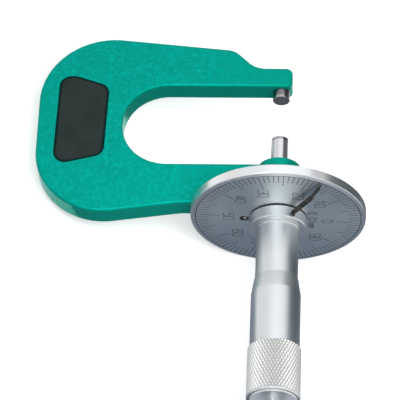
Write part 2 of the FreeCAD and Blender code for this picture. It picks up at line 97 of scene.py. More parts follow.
def addNode(tree, kind, inputs=None, **settings):
    node = tree.nodes.new("ShaderNode" + kind)
    for key, value in settings.items():
        setattr(node, key, value)
    for key, value in (inputs or {}).items():
        if isinstance(value, bpy.types.NodeSocket):
            tree.links.new(value, node.inputs[key])
        else:
            node.inputs[key].default_value = value
    return node


def addMath(tree, operation, first, second=0.0):
    return addNode(tree, "Math", {0: first, 1: second}, operation=operation).outputs[0]


def addVector(tree, operation, first, second=(0, 0, 0)):
    node = addNode(tree, "VectorMath", {0: first, 1: second}, operation=operation)
    return node.outputs["Value" if operation in ("LENGTH", "DOT_PRODUCT") else "Vector"]


def addNoise(tree, place, scale, detail=2.0, roughness=0.5):
    inputs = {"Vector": place, "Scale": scale, "Detail": detail, "Roughness": roughness}
    return addNode(tree, "TexNoise", inputs).outputs["Fac"]


def addRange(tree, value, fromLow, fromHigh, toLow, toHigh):
    inputs = {"Value": value, "From Min": fromLow, "From Max": fromHigh, "To Min": toLow, "To Max": toHigh}
    return addNode(tree, "MapRange", inputs).outputs[0]


# A noise stays mostly between 0.3 and 0.7, which this spreads from low to high
def spreadNoise(tree, noise, low, high):
    return addRange(tree, noise, 0.3, 0.7, low, high)


def addMix(tree, share, first, second):
    node = addNode(tree, "Mix", data_type="RGBA")
    for socket, value in ((node.inputs[0], share), (node.inputs[6], first), (node.inputs[7], second)):
        if isinstance(value, bpy.types.NodeSocket):
            tree.links.new(value, socket)
        else:
            socket.default_value = value
    return node.outputs[2]


def addBump(tree, height, strength, distance, below=None):
    inputs = {"Height": height, "Strength": strength, "Distance": distance}
    if below is not None:
        inputs["Normal"] = below
    return addNode(tree, "Bump", inputs).outputs[0]


def objectPlace(tree):
    return addNode(tree, "TexCoord").outputs["Object"]


# 1 for what the camera, metal or glass sees, and 0 for light that falls on the object
def seenDirectly(tree):
    path = addNode(tree, "LightPath")
    seen = addMath(tree, "MAXIMUM", path.outputs["Is Camera Ray"], path.outputs["Is Glossy Ray"])
    return addMath(tree, "MAXIMUM", seen, path.outputs["Is Transmission Ray"])


def colour(red, green, blue):
    return (red, green, blue, 1.0)


# Finishes

hammeredEnamel = {
    "light": colour(0.0, 0.345, 0.281),
    "dark": colour(0.0, 0.262, 0.200),
    "fleck": colour(0.0, 0.52, 0.46),
    "plain": colour(0.0, 0.275, 0.202),         # a darker, greener tone where the hammering fades out
    "rippleSize": 1.7 * mm,
    "rippleStretch": 1.8,
    "rippleStrength": 0.6,
    "rippleDepth": 0.060 * mm,
    "fleckSize": 0.5 * mm,
    "fleckStrength": 0.5,
    "fleckDepth": 0.020 * mm,
    "cloudSize": 16 * mm,
    # each noise from and to, and how much of the light tone it gives there
    "rippleTone": (0.36, 0.64, 0.0, 0.68),
    "fineTone": (0.3, 0.7, 0.0, 0.2),
    "cloudTone": (0.38, 0.62, 0.0, 0.12),
    "fleckTone": (0.31, 0.42, 0.0, 0.5),
    # it lies smoother on the narrow sides and towards the end of the arm
    "sideFromTo": (0.60, 0.97, 0.15, 1.0),      # how squarely a face looks forward, how hammered it is
    "armFromTo": (0.0, 0.030, 1.0, 0.30),       # place to the open side in metres, how hammered it is
    "roughness": (0.20, 0.31),
    "smoothShine": (0.15, 1.0, 0.60, 1.0),      # how hammered it is, share of that roughness
    "metallic": 0.32,                           # the flakes in the enamel
    "specular": 0.12,
    "gloss": 0.03,                              # a thin clear coat over it
    "glossRoughness": 0.14,
    "tint": colour(0.0, 0.9, 0.8),              # what shines on it shines green
}


def makeHammeredEnamel(values):
    mat, tree, shader = newMaterial("hammeredEnamel")
    place = objectPlace(tree)
    rippleSize = values["rippleSize"]
    cloud = addNoise(tree, place, 1 / values["cloudSize"], 3.0)
    swirl = addNoise(tree, place, 0.4 / rippleSize, 1.0)
    drift = addNode(tree, "CombineXYZ", {"X": swirl, "Y": cloud}).outputs[0]
    stretch = (values["rippleStretch"] * rippleSize,) * 3
    bent = addVector(tree, "ADD", place, addVector(tree, "MULTIPLY", drift, stretch))
    ripple = addNoise(tree, bent, 1 / rippleSize, 3.0, 0.6)
    dimples = addNode(tree, "TexVoronoi", {"Vector": bent, "Scale": 0.8 / rippleSize, "Smoothness": 0.6},
                      feature="SMOOTH_F1").outputs["Distance"]
    fine = addNoise(tree, place, 1 / values["fleckSize"], 2.0, 0.6)

    squarely = addMath(tree, "ABSOLUTE", addVector(
        tree, "DOT_PRODUCT", addNode(tree, "TexCoord").outputs["Normal"], tuple(forward)))
    reach = addVector(tree, "DOT_PRODUCT", place, tuple(sideways))
    hammered = addMath(tree, "MULTIPLY", addRange(tree, squarely, *values["sideFromTo"]),
                       addRange(tree, reach, *values["armFromTo"]))

    tone = addMath(tree, "ADD", addRange(tree, ripple, *values["rippleTone"]),
                   addRange(tree, fine, *values["fineTone"]))
    tone = addMath(tree, "ADD", tone, addRange(tree, cloud, *values["cloudTone"]))
    body = addMix(tree, hammered, values["plain"], addMix(tree, tone, values["dark"], values["light"]))
    flecks = addRange(tree, addMath(tree, "MULTIPLY", fine, ripple), *values["fleckTone"])
    body = addMix(tree, addMath(tree, "MULTIPLY", hammered, flecks), body, values["fleck"])
    tree.links.new(body, shader.inputs["Base Color"])

    low, high = values["roughness"]
    rough = addMath(tree, "MULTIPLY", spreadNoise(tree, ripple, high, low),
                    addRange(tree, hammered, *values["smoothShine"]))
    tree.links.new(rough, shader.inputs["Roughness"])

    height = addMath(tree, "MULTIPLY", hammered, addMath(tree, "ADD", ripple, dimples))
    coarse = addBump(tree, height, values["rippleStrength"], values["rippleDepth"])
    fineHeight = addMath(tree, "MULTIPLY", hammered, fine)
    bump = addBump(tree, fineHeight, values["fleckStrength"], values["fleckDepth"], coarse)
    tree.links.new(bump, shader.inputs["Normal"])

    shader.inputs["Metallic"].default_value = values["metallic"]
    shader.inputs["Specular IOR Level"].default_value = values["specular"]
    shader.inputs["Specular Tint"].default_value = values["tint"]
    shader.inputs["Coat Weight"].default_value = values["gloss"]
    shader.inputs["Coat Roughness"].default_value = values["glossRoughness"]
    return mat


gripPlastic = {
    "base": colour(0.010, 0.020, 0.018),
    "worn": colour(0.015, 0.026, 0.024),
    "grainSize": 0.35 * mm,
    "grainStrength": 0.4,
    "grainDepth": 0.012 * mm,
    "roughness": (0.40, 0.52),
    "specular": 0.15,
}

# painted shade: the near-black of the shadowed gap round the pads, for the bead that stands in for it
paintedShadeBead = dict(gripPlastic, **{
    "base": colour(0.0, 0.016, 0.016),
    "worn": colour(0.002, 0.024, 0.023),
    "specular": 0.04,
})


def makeGripPlastic(name, values):
    mat, tree, shader = newMaterial(name)
    place = objectPlace(tree)
    grain = addNoise(tree, place, 1 / values["grainSize"], 2.0)
    rubbed = addNoise(tree, place, 0.05 / values["grainSize"], 3.0)
    share = addRange(tree, rubbed, 0.35, 0.65, 0.0, 1.0)
    tree.links.new(addMix(tree, share, values["base"], values["worn"]), shader.inputs["Base Color"])
    low, high = values["roughness"]
    tree.links.new(spreadNoise(tree, rubbed, high, low), shader.inputs["Roughness"])
    bump = addBump(tree, grain, values["grainStrength"], values["grainDepth"])
    tree.links.new(bump, shader.inputs["Normal"])
    shader.inputs["Specular IOR Level"].default_value = values["specular"]
    return mat


# Fine lines round the spindle's axis, as a lathe leaves them on ends and on sides alike
def turnedLines(tree, spacing):
    fromAxis = addVector(tree, "SUBTRACT", objectPlace(tree), tuple(axisPlace))
    parts = addNode(tree, "SeparateXYZ", {0: fromAxis})
    flat = addNode(tree, "CombineXYZ", {"X": parts.outputs["X"], "Z": parts.outputs["Z"]}).outputs[0]
    radius = addVector(tree, "LENGTH", flat)
    height = parts.outputs["Y"]
    lines = addNode(tree, "CombineXYZ", {"X": radius, "Y": height}).outputs[0]
    return addNoise(tree, lines, 1 / spacing, 2.0, 0.6), radius, height


def makeTurnedMetal(name, values):
    mat, tree, shader = newMaterial(name)
    lines, radius, height = turnedLines(tree, values["lineSpacing"])
    smudge = addNoise(tree, objectPlace(tree), 1 / values["smudgeSize"], 3.0)
    body = addMix(tree, spreadNoise(tree, lines, 0.0, 1.0), values["dark"], values["base"])
    if "recessDarkening" in values:               # darker tone: painted shade in the hub's gap at the dial, and darker towards the floors of the knurl's grooves; full at the first value and none at the second
        where = {"radius": radius, "height": height}[values["recessDarkeningAlong"]]
        full, none = values["recessDarkeningFromTo"]
        body = addMix(tree, addRange(tree, where, full, none, 1.0, 0.0), body, values["recessDarkening"])
    tree.links.new(body, shader.inputs["Base Color"])
    low, high = values["roughness"]
    tree.links.new(spreadNoise(tree, smudge, low, high), shader.inputs["Roughness"])
    bump = addBump(tree, lines, values["lineStrength"], values["lineDepth"])
    tree.links.new(bump, shader.inputs["Normal"])
    shader.inputs["Metallic"].default_value = 1.0
    if "anisotropic" in values:
        shader.inputs["Anisotropic"].default_value = values["anisotropic"]
        tangent = addNode(tree, "Tangent", direction_type="RADIAL", axis="Y").outputs[0]
        tree.links.new(tangent, shader.inputs["Tangent"])
    return mat


satinChrome = {
    "base": colour(0.70, 0.72, 0.73),
    "dark": colour(0.64, 0.66, 0.68),
    "lineSpacing": 0.12 * mm,
    "lineStrength": 0.15,
    "lineDepth": 0.003 * mm,
    "smudgeSize": 7 * mm,
    "roughness": (0.34, 0.38),
    "anisotropic": 0.3,
}

dialMetal = {
    "base": colour(0.65, 0.70, 0.725),
    "dark": colour(0.58, 0.63, 0.655),
    "lineSpacing": 0.14 * mm,
    "lineStrength": 0.15,
    "lineDepth": 0.003 * mm,
    "smudgeSize": 9 * mm,
    "roughness": (0.36, 0.42),
    "anisotropic": 0.5,
}

hubChrome = dict(satinChrome, **{
    # painted shade: dark in the undercut gap between the hub and the dial
    "recessDarkening": colour(0.10, 0.11, 0.12),
    "recessDarkeningAlong": "height",
    "recessDarkeningFromTo": (dialFace - axisPlace.y - 0.46 * mm, dialFace - axisPlace.y - 0.50 * mm),
})

rimChrome = {
    "base": colour(0.78, 0.79, 0.80),
    "dark": colour(0.72, 0.73, 0.75),
    "lineSpacing": 0.12 * mm,
    "lineStrength": 0.12,
    "lineDepth": 0.002 * mm,
    "smudgeSize": 8 * mm,
    "roughness": (0.26, 0.32),
}

knurlChrome = {
    "base": colour(0.93, 0.93, 0.92),
    "dark": colour(0.87, 0.87, 0.86),
    "lineSpacing": 0.10 * mm,
    "lineStrength": 0.10,
    "lineDepth": 0.002 * mm,
    "smudgeSize": 5 * mm,
    "roughness": (0.50, 0.56),
    # darker towards the floors of the knurl's grooves
    "recessDarkening": colour(0.50, 0.50, 0.49),
    "recessDarkeningAlong": "radius",
    "recessDarkeningFromTo": (9.28 * mm, 9.68 * mm),
}

# the knob's knurl likewise darker towards its groove floors
knobChrome = dict(knurlChrome, recessDarkeningFromTo=(4.66 * mm, 4.98 * mm))

groundSteel = {
    "base": colour(0.68, 0.68, 0.70),
    "dark": colour(0.60, 0.60, 0.62),
    "lineSpacing": 0.08 * mm,
    "lineStrength": 0.12,
    "lineDepth": 0.002 * mm,
    "smudgeSize": 4 * mm,
    "roughness": (0.18, 0.24),
    "anisotropic": 0.3,
}

anvilSteel = {
    "base": colour(0.22, 0.21, 0.235),
    "dark": colour(0.15, 0.145, 0.16),
    "lineSpacing": 0.10 * mm,
    "lineStrength": 0.15,
    "lineDepth": 0.002 * mm,
    "smudgeSize": 1.6 * mm,
    "roughness": (0.14, 0.30),
}

hardMetal = {
    "base": colour(0.60, 0.58, 0.59),
    "dark": colour(0.17, 0.165, 0.17),
    "lineSpacing": 0.55 * mm,
    "lineStrength": 0.15,
    "lineDepth": 0.004 * mm,
    "smudgeSize": 1.2 * mm,
    "roughness": (0.10, 0.30),
}

brass = {
    "base": colour(0.62, 0.42, 0.16),
    "dark": colour(0.50, 0.33, 0.12),
    "lineSpacing": 0.12 * mm,
    "lineStrength": 0.15,
    "lineDepth": 0.003 * mm,
    "smudgeSize": 5 * mm,
    "roughness": (0.28, 0.36),
}

blackSteel = {
    "base": colour(0.020, 0.020, 0.018),
    "worn": colour(0.075, 0.070, 0.058),
    "patchSize": 2.2 * mm,
    "grainSize": 0.18 * mm,
    "grainStrength": 0.4,
    "grainDepth": 0.004 * mm,
    "roughness": (0.34, 0.50),
    "metallic": 0.35,
}

screwLow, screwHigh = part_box("dial_screw")
screwHead = Vector(((screwLow.x + screwHigh.x) / 2, screwLow.y, (screwLow.z + screwHigh.z) / 2))
screwSteel = dict(blackSteel, **{
    "paintedGlintSpot": screwHead + sideways * 0.3 * mm,        # painted highlight: a light spot just off the head's centre, where the glint on the head lies
    "paintedGlintFromTo": (0.55 * mm, 0.75 * mm),
    "paintedGlintColour": colour(0.50, 0.52, 0.53),
})


def makeBlackSteel(name, values):
    mat, tree, shader = newMaterial(name)
    place = objectPlace(tree)
    patches = addNoise(tree, place, 1 / values["patchSize"], 3.0)
    grain = addNoise(tree, place, 1 / values["grainSize"], 2.0)
    share = addRange(tree, patches, 0.45, 0.72, 0.0, 0.8)
    body = addMix(tree, share, values["base"], values["worn"])
    # painted highlight: a light spot on the screw head
    if "paintedGlintSpot" in values:
        away = addVector(tree, "LENGTH", addVector(tree, "SUBTRACT", place, tuple(values["paintedGlintSpot"])))
        full, none = values["paintedGlintFromTo"]
        body = addMix(tree, addRange(tree, away, full, none, 1.0, 0.0), body, values["paintedGlintColour"])
    tree.links.new(body, shader.inputs["Base Color"])
    low, high = values["roughness"]
    tree.links.new(spreadNoise(tree, patches, high, low), shader.inputs["Roughness"])
    bump = addBump(tree, grain, values["grainStrength"], values["grainDepth"])
    tree.links.new(bump, shader.inputs["Normal"])
    shader.inputs["Metallic"].default_value = values["metallic"]
    return mat


engravingInk = {
    "base": colour(0.012, 0.012, 0.014),
    "thin": colour(0.045, 0.045, 0.05),
    "patchSize": 0.8 * mm,
    "roughness": 0.6,
}


def makeEngravingInk(values):
    mat, tree, shader = newMaterial("engravingInk")
    patches = addNoise(tree, objectPlace(tree), 1 / values["patchSize"], 2.0)
    share = addRange(tree, patches, 0.45, 0.75, 0.0, 1.0)
    tree.links.new(addMix(tree, share, values["base"], values["thin"]), shader.inputs["Base Color"])
    shader.inputs["Roughness"].default_value = values["roughness"]
    return mat


finishes = {
    "frame_paint": makeHammeredEnamel(hammeredEnamel),
    "pad_plastic": makeGripPlastic("gripPlastic", gripPlastic),
    "dial_metal": makeTurnedMetal("dialMetal", dialMetal),
    "satin_chrome": makeTurnedMetal("satinChrome", satinChrome),
    "knurl_chrome": makeTurnedMetal("knurlChrome", knurlChrome),
    "ground_steel": makeTurnedMetal("groundSteel", groundSteel),
    "hard_metal": makeTurnedMetal("hardMetal", hardMetal),
    "black_steel": makeBlackSteel("blackSteel", blackSteel),
    "bright_brass": makeTurnedMetal("brightBrass", brass),
}
ownFinishes = {
    "hub": makeTurnedMetal("hubChrome", hubChrome),
    "anvil": makeTurnedMetal("anvilSteel", anvilSteel),
    "dial_screw": makeBlackSteel("screwSteel", screwSteel),
}
rimFinish = makeTurnedMetal("rimChrome", rimChrome)
knobFinish = makeTurnedMetal("knobChrome", knobChrome)
shadeBeadFinish = makeGripPlastic("paintedShadeBead", paintedShadeBead)
ink = makeEngravingInk(engravingInk)
print("finishes made:", len(finishes), "for the slots and", len(ownFinishes), "for single solids")


# Every solid that stays gets the finish of its slot, or one of its own

def finishNode(name, finish):
    ob = nodes[name]
    for holder in ob.material_slots:
        holder.material = finish
    if not ob.material_slots:
        ob.data.materials.append(finish)


nodeFinish = {
    "frame_paint": ["frame"],
    "pad_plastic": ["front_pad", "back_pad"],
    "dial_metal": ["dial_disc"],
    "satin_chrome": ["hub", "drive_sleeve", "end_cap", "ratchet_stem", "nut_barrel"],
    "knurl_chrome": ["thimble", "ratchet_knob"],
    "ground_steel": ["spindle", "anvil", "adjusting_nut", "ratchet_wheel", "ratchet_clutch", "drive_key",
                     "ratchet_spring", "ratchet_screw"],
    "hard_metal": ["anvil_tip", "spindle_tip"],
    "black_steel": ["pointer", "pointer_screw", "dial_screw", "hub_screw"],
    "bright_brass": ["thrust_washer"],
}
for slot, names in nodeFinish.items():
    for name in names:
        finishNode(name, finishes[slot])
for name, finish in ownFinishes.items():
    finishNode(name, finish)
print("solids finished:", sum(len(names) for names in nodeFinish.values()))


def newPiece(name, mesh, body, replaced):
    ob = bpy.data.objects.new(name, mesh)
    bpy.context.scene.collection.objects.link(ob)
    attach(ob, body)
    if replaced:
        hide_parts(*replaced)
    return ob


def shadeByAngle(mesh, degrees):
    mesh.polygons.foreach_set("use_smooth", [True] * len(mesh.polygons))
    mesh.set_sharp_from_angle(angle=math.radians(degrees))


# Dial: the marks and numbers are cut into the face and filled with black

dialMarks = {
    "zeroAngle": -5.3,      # degrees from the open side towards the back
    "divisions": 100,
    "ringRadius": 30.26,
    "ringPoints": 180,
    "shortEnd": 25.8,       # ticks run inwards from the ring to here
    "middleEnd": 23.7,
    "longEnd": 21.4,
    "tickWidth": 0.25,
    "ringWidth": 0.28,
    "depth": 0.08,
    "tickShare": 0.9,       # of that depth, so that no tick's floor lies in the ring's
    "edgeRadius": 32.1,     # the sharp front edge of the rim, which gets a small round
    "edgeDepth": 0.35,
    "edgeRound": 0.26,
    "numberPlaces": [(18.10, 1.70), (15.40, -10.80), (7.70, -16.20), (-4.95, -17.70), (-13.35, -13.90),
                     (-18.05, -1.40), (-15.20, 10.85), (-8.20, 16.60), (4.80, 17.30), (13.35, 13.50)],
    "numberHeight": 3.9,
    "numberWidth": 2.05,
    "numberGap": 0.55,
    "strokeWidth": 0.27,
    "unitText": "0.01mm",
    "unitHeight": 2.9,
    "unitWidth": 1.35,
    "unitGap": 0.62,
    "unitPlace": (12.5, 0.9),
    "unitStroke": 0.33,
    "sharpAngle": 8,
}

# Strokes of the engraver's letters on a grid 2 wide and 4 high. A point given twice is a sharp corner,
# and a stroke whose last point is its first is a closed loop. The two groups are cut one after the other.
letterStrokes = {
    "0": ([[(0, 2), (0, 4), (2, 4), (2, 2), (2, 0), (0, 0), (0, 2)]], []),
    "1": ([[(0.4, 3.1), (1.1, 4), (1.1, 4), (1.1, 0)]], []),
    "2": ([[(0, 3), (0, 4), (2, 4), (2, 2.5), (0, 1.2), (0, 0), (0, 0), (2, 0)]], []),
    "3": ([[(0, 3.4), (0.1, 4), (2, 4), (2, 2.2), (0.8, 2.2)]],
          [[(0.8, 2.2), (2.1, 2.2), (2.1, 0), (0, 0), (0, 0.8)]]),
    "4": ([[(1.5, 4), (1.5, 4), (0, 1.2), (0, 1.2), (2.1, 1.2)]], [[(1.5, 3.9), (1.5, 0)]]),
    "5": ([[(1.9, 4), (0.2, 4), (0.2, 4), (0.1, 2.3), (0.1, 2.3), (2.1, 2.8), (2.1, 0), (0, 0),
            (0, 0.7)]], []),
    "6": ([[(1.9, 3.4), (1.7, 4), (0, 4), (0, 2), (0, 1.2)]],
          [[(0, 1.2), (0, 2.4), (2, 2.4), (2, 0), (0, 0), (0, 1.2)]]),
    "7": ([[(0, 4), (2, 4), (2, 4), (0.7, 0)]], []),
    "8": ([[(0, 1.1), (0, 2.2), (2, 2.2), (2, 0), (0, 0), (0, 1.1)]],
          [[(0.1, 3.1), (0.1, 4), (1.9, 4), (1.9, 2.2), (0.1, 2.2), (0.1, 3.1)]]),
    "9": ([[(2, 2.8), (2, 2), (2, 0), (0.3, 0), (0.1, 0.6)]],
          [[(0, 2.8), (0, 4), (2, 4), (2, 1.6), (0, 1.6), (0, 2.8)]]),
    ".": ([[(1, 0), (1, 0.4)]], []),
    "m": ([[(0, 0), (0, 2.4)], [(1, 1.7), (1, 2.4), (2, 2.4), (2, 1.6), (2, 0)]],
          [[(0, 1.7), (0, 2.4), (1, 2.4), (1, 1.6), (1, 0)]]),
}


samePlace = 1e-4        # points of a stroke that lie closer are one


# Cuts the corners of a stroke again and again, which leaves a smooth line
def smoothStroke(points, rounds=3):
    closed = points[0] == points[-1]
    line = [Vector(p) for p in (points[:-1] if closed else points)]
    for _ in range(rounds):
        pairs = list(zip(line, line[1:] + line[:1] if closed else line[1:]))
        cut = []
        for first, second in pairs:
            cut.append(first.lerp(second, 0.25))
            cut.append(first.lerp(second, 0.75))
        line = cut if closed else [line[0]] + cut[1:-1] + [line[-1]]
    kept = []
    for point in line:
        if not kept or (point - kept[-1]).length > samePlace:
            kept.append(point)
    if closed and (kept[0] - kept[-1]).length < samePlace:
        kept.pop()
    return kept, closed


# A bar of this width along a line on the dial, from depth below its face to as much above it
def addRibbon(bm, line, closed, width, depth):
    count = len(line)
    rings = []
    for i, point in enumerate(line):
        before = line[i - 1] if closed or i else point
        after = line[(i + 1) % count] if closed or i + 1 < count else point
        run = (after - before).normalized()
        across = Vector((-run.y, run.x))
        bend = 1.0              # below 1 where the line turns, which keeps the bar as wide there
        if (point - before).length > 0:
            incoming = (point - before).normalized()
            bend = max(0.5, abs(across.dot(Vector((-incoming.y, incoming.x)))))
        across *= width / 2 / bend
        ring = []
        for side, level in ((1, -depth), (-1, -depth), (-1, depth), (1, depth)):
            place = point + across * side
            ring.append(bm.verts.new(dialPlace(place.x, place.y, level)))
        rings.append(ring)
    for i in range(count if closed else count - 1):
        near, far = rings[i], rings[(i + 1) % count]
        for k in range(4):
            bm.faces.new((near[k], near[(k + 1) % 4], far[(k + 1) % 4], far[k]))
    if not closed:
        bm.faces.new(rings[0][::-1])
        bm.faces.new(rings[-1])


# corner is the letter's lower left one; it reads towards the back and stands up to the open side
def addLetter(bms, letter, corner, width, height, values):
    for bm, strokes in zip(bms, letterStrokes[letter]):
        for stroke in strokes:
            line, closed = smoothStroke(stroke)
            placed = [Vector((corner.x + p.y * height / 4, corner.y + p.x * width / 2)) for p in line]
            addRibbon(bm, placed, closed, values["strokeWidth"], values["depth"])


def addText(bms, text, centre, width, height, gap, values):
    total = len(text) * width + (len(text) - 1) * gap
    for i, letter in enumerate(text):
        corner = Vector((centre.x - height / 2, centre.y - total / 2 + i * (width + gap)))
        addLetter(bms, letter, corner, width, height, values)


def makeDialCutters(values):
    first, second = bmesh.new(), bmesh.new()
    turns = (2 * math.pi * i / values["ringPoints"] for i in range(values["ringPoints"]))
    ring = [Vector((math.cos(turn), math.sin(turn))) * values["ringRadius"] for turn in turns]
    addRibbon(first, ring, True, values["ringWidth"], values["depth"])
    count = values["divisions"]
    for i in range(count):
        angle = math.radians(values["zeroAngle"] + 360 * i / count)
        outward = Vector((math.cos(angle), -math.sin(angle)))
        end = values["longEnd"] if i % 10 == 0 else values["middleEnd"] if i % 5 == 0 else values["shortEnd"]
        addRibbon(second, [outward * end, outward * values["ringRadius"]], False, values["tickWidth"],
                  values["depth"] * values["tickShare"])
    for i, place in enumerate(values["numberPlaces"]):
        addText((first, second), str(i * 10), Vector(place), values["numberWidth"], values["numberHeight"],
                values["numberGap"], values)
    unitValues = dict(values, strokeWidth=values["unitStroke"])
    addText((first, second), values["unitText"], Vector(values["unitPlace"]), values["unitWidth"],
            values["unitHeight"], values["unitGap"], unitValues)
    cutters = []
    for bm in (first, second):
        bmesh.ops.recalc_face_normals(bm, faces=bm.faces)
        mesh = bpy.data.meshes.new("markCutter")
        bm.to_mesh(mesh)
        bm.free()
        mesh.materials.append(ink)
        cutters.append(bpy.data.objects.new("markCutter", mesh))
        bpy.context.scene.collection.objects.link(cutters[-1])
    return cutters


# Whether a corner of the disc is on the edge that gets the round
def isOuterEdge(place, values, allowance=0.02):
    fromAxis = place - dialCentre
    depth = fromAxis.dot(along)
    reach = (fromAxis - along * depth).length
    return (abs(reach / mm - values["edgeRadius"]) < allowance
            and abs(depth / mm - values["edgeDepth"]) < allowance)


def makeEngravedDial(values):
    mesh = nodes["dial_disc"].data.copy()
    bm = bmesh.new()
    bm.from_mesh(mesh)
    bmesh.ops.remove_doubles(bm, verts=bm.verts, dist=1e-7)     # joins what the loader holds apart
    outer = [edge for edge in bm.edges if all(isOuterEdge(v.co, values) for v in edge.verts)]
    bmesh.ops.bevel(bm, geom=outer, offset=values["edgeRound"] * mm, segments=2, affect="EDGES", profile=0.5)
    bm.to_mesh(mesh)
    bm.free()
    mesh.materials.clear()
    mesh.materials.append(finishes["dial_metal"])
    blank = bpy.data.objects.new("dialBlank", mesh)
    bpy.context.scene.collection.objects.link(blank)
    cutters = makeDialCutters(values)
    for cutter in cutters:
        cut = blank.modifiers.new("engrave", "BOOLEAN")
        cut.operation = "DIFFERENCE"
        cut.solver = "EXACT"
        cut.material_mode = "TRANSFER"
        cut.use_self = True
        cut.object = cutter
    bpy.context.view_layer.update()
    engraved = bpy.data.meshes.new_from_object(blank.evaluated_get(bpy.context.evaluated_depsgraph_get()))
    for scrap in (blank, *cutters):
        bpy.data.objects.remove(scrap)
    shadeByAngle(engraved, values["sharpAngle"])
    rim = len(engraved.materials)
    engraved.materials.append(rimFinish)
    for face in engraved.polygons:
        if abs(face.normal.dot(along)) > 0.9999:        # the flat faces and the floors of the marks
            face.use_smooth = False
        elif engraved.materials[face.material_index] is not ink:
            face.material_index = rim
    newPiece("engraved_dial", engraved, "frame_body", ["dial_disc"])
    return engraved


dialMesh = makeEngravedDial(dialMarks)
print("dial engraved:", len(dialMesh.polygons), "faces", [m.name for m in dialMesh.materials])


# Knurled pieces: a lathe profile whose knurled rows rise and fall as two crossed sets of grooves

bandMargin = 0.01       # inside the band's two ends, so that no face beside it takes the knurl's finish


# 0 in a groove and 1 on a crest; both ways are counted in half diamonds
def knurlHeight(across, down):
    height = 1.0
    for groove in ((across + down) / 2, (across - down) / 2):
        height = min(height, 2 * abs(groove - round(groove)))
    return height


# rows are (distance from start towards the ratchet, radius or list of radii), closed round the section.
# knurl is (first row, rows in it, steps in half a diamond), for which way its small faces are split.
def makeTurnedMesh(name, rows, count, start, knurl=None):
    bm = bmesh.new()
    rings = []
    for distance, radius in rows:
        ring = []
        for i in range(count):
            angle = 2 * math.pi * i / count
            r = radius[i] if isinstance(radius, list) else radius
            outward = sideways * math.cos(angle) - forward * math.sin(angle)
            ring.append(bm.verts.new(start + (outward * r - along * distance) * mm))
        rings.append(ring)
    for j in range(len(rows)):
        near, far = rings[j], rings[(j + 1) % len(rows)]
        for i in range(count):
            k = (i + 1) % count
            corners = (near[i], near[k], far[k], far[i])
            if knurl and knurl[0] <= j < knurl[0] + knurl[1]:
                even = (i // knurl[2] + (j - knurl[0]) // knurl[2]) % 2 == 0
                a, b, c, d = corners
                split = ((a, b, c), (a, c, d)) if even else ((a, b, d), (b, c, d))
                for triangle in split:
                    bm.faces.new(triangle)
            else:
                bm.faces.new(corners)
    bmesh.ops.recalc_face_normals(bm, faces=bm.faces)
    mesh = bpy.data.meshes.new(name)
    bm.to_mesh(mesh)
    bm.free()
    return mesh


# Rows of a knurled band: flat-topped diamonds between two sets of crossed grooves
def knurlRows(values, start, length, count):
    steps = values["stepsPerHalf"]
    total = values["halfRows"] * steps
    rows = []
    for j in range(total + 1):
        distance = start + length * j / total
        radii = []
        for i in range(count):
            height = min(1.0, knurlHeight(i / steps, j / steps) / values["crestShare"])
            radii.append(values["crest"] - values["grooveDepth"] * (1 - height))
        rows.append((distance, radii))
    return rows


# The band's faces get the knurl's finish, and all others plain satin chrome
def finishKnurled(mesh, start, knurlStart, knurlEnd, values, knurlFinish):
    mesh.materials.append(finishes["satin_chrome"])
    mesh.materials.append(knurlFinish)
    bandStart = start.y - (knurlStart + bandMargin) * mm
    bandEnd = start.y - (knurlEnd - bandMargin) * mm
    for face in mesh.polygons:
        face.material_index = 1 if bandEnd < face.center.y < bandStart else 0
    shadeByAngle(mesh, values["sharpAngle"])


thimbleSizes = {
    "mouthRadius": 7.98,
    "bore": 7.84,
    "plainRadius": 9.0,
    "bevelLength": 6.4,
    "plainLength": 21.5,
    "reliefRadius": 8.75,
    "reliefWidth": 0.5,
    "crest": 9.7,
    "grooveDepth": 0.42,
    "crestShare": 0.85,     # below 1 the crests are left flat
    "diamonds": 48,         # round the band
    "halfRows": 16,
    "stepsPerHalf": 2,
    # each from distance before the end and radius to distance and radius
    "endBevel": (1.10, 9.70, 0.45, 9.20),
    "endGroove": (1.90, 9.17, 1.90, 8.76),
    "endLip": (0.40, 8.70, -0.10, 8.30),
    "capSeat": 8.22,
    "capDepth": 4.0,
    "sharpAngle": 6,
}


def makeKnurledThimble(values):
    low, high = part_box("thimble")
    length = (high.y - low.y) / mm
    start = Vector((axisPlace.x, high.y, axisPlace.z))
    count = values["diamonds"] * 2 * values["stepsPerHalf"]
    plainEnd = values["bevelLength"] + values["plainLength"]
    knurlStart = plainEnd + values["reliefWidth"]
    front = [
        (0, values["bore"]),
        (0, values["mouthRadius"]),
        (values["bevelLength"], values["plainRadius"]),
        (plainEnd, values["plainRadius"]),
        (plainEnd, values["reliefRadius"]),
        (knurlStart, values["reliefRadius"]),
    ]
    knurlEnd = length - values["endBevel"][0]
    band = knurlRows(values, knurlStart, knurlEnd - knurlStart, count)
    end = []
    for part in ("endBevel", "endGroove", "endLip"):
        firstBack, firstRadius, lastBack, lastRadius = values[part]
        end += [(length - firstBack, firstRadius), (length - lastBack, lastRadius)]
    inside = [
        (length - values["endLip"][2], values["capSeat"]),
        (length - values["capDepth"], values["capSeat"]),
        (length - values["capDepth"], values["bore"]),
    ]
    rows = front + band + end + inside
    knurl = (len(front), len(band) - 1, values["stepsPerHalf"])
    mesh = makeTurnedMesh("knurled_thimble", rows, count, start, knurl)
    finishKnurled(mesh, start, knurlStart, knurlEnd, values, finishes["knurl_chrome"])
    newPiece("knurled_thimble", mesh, "spindle_set", ["thimble"])
    return mesh


thimbleMesh = makeKnurledThimble(thimbleSizes)
print("thimble knurled:", len(thimbleMesh.polygons), "faces")


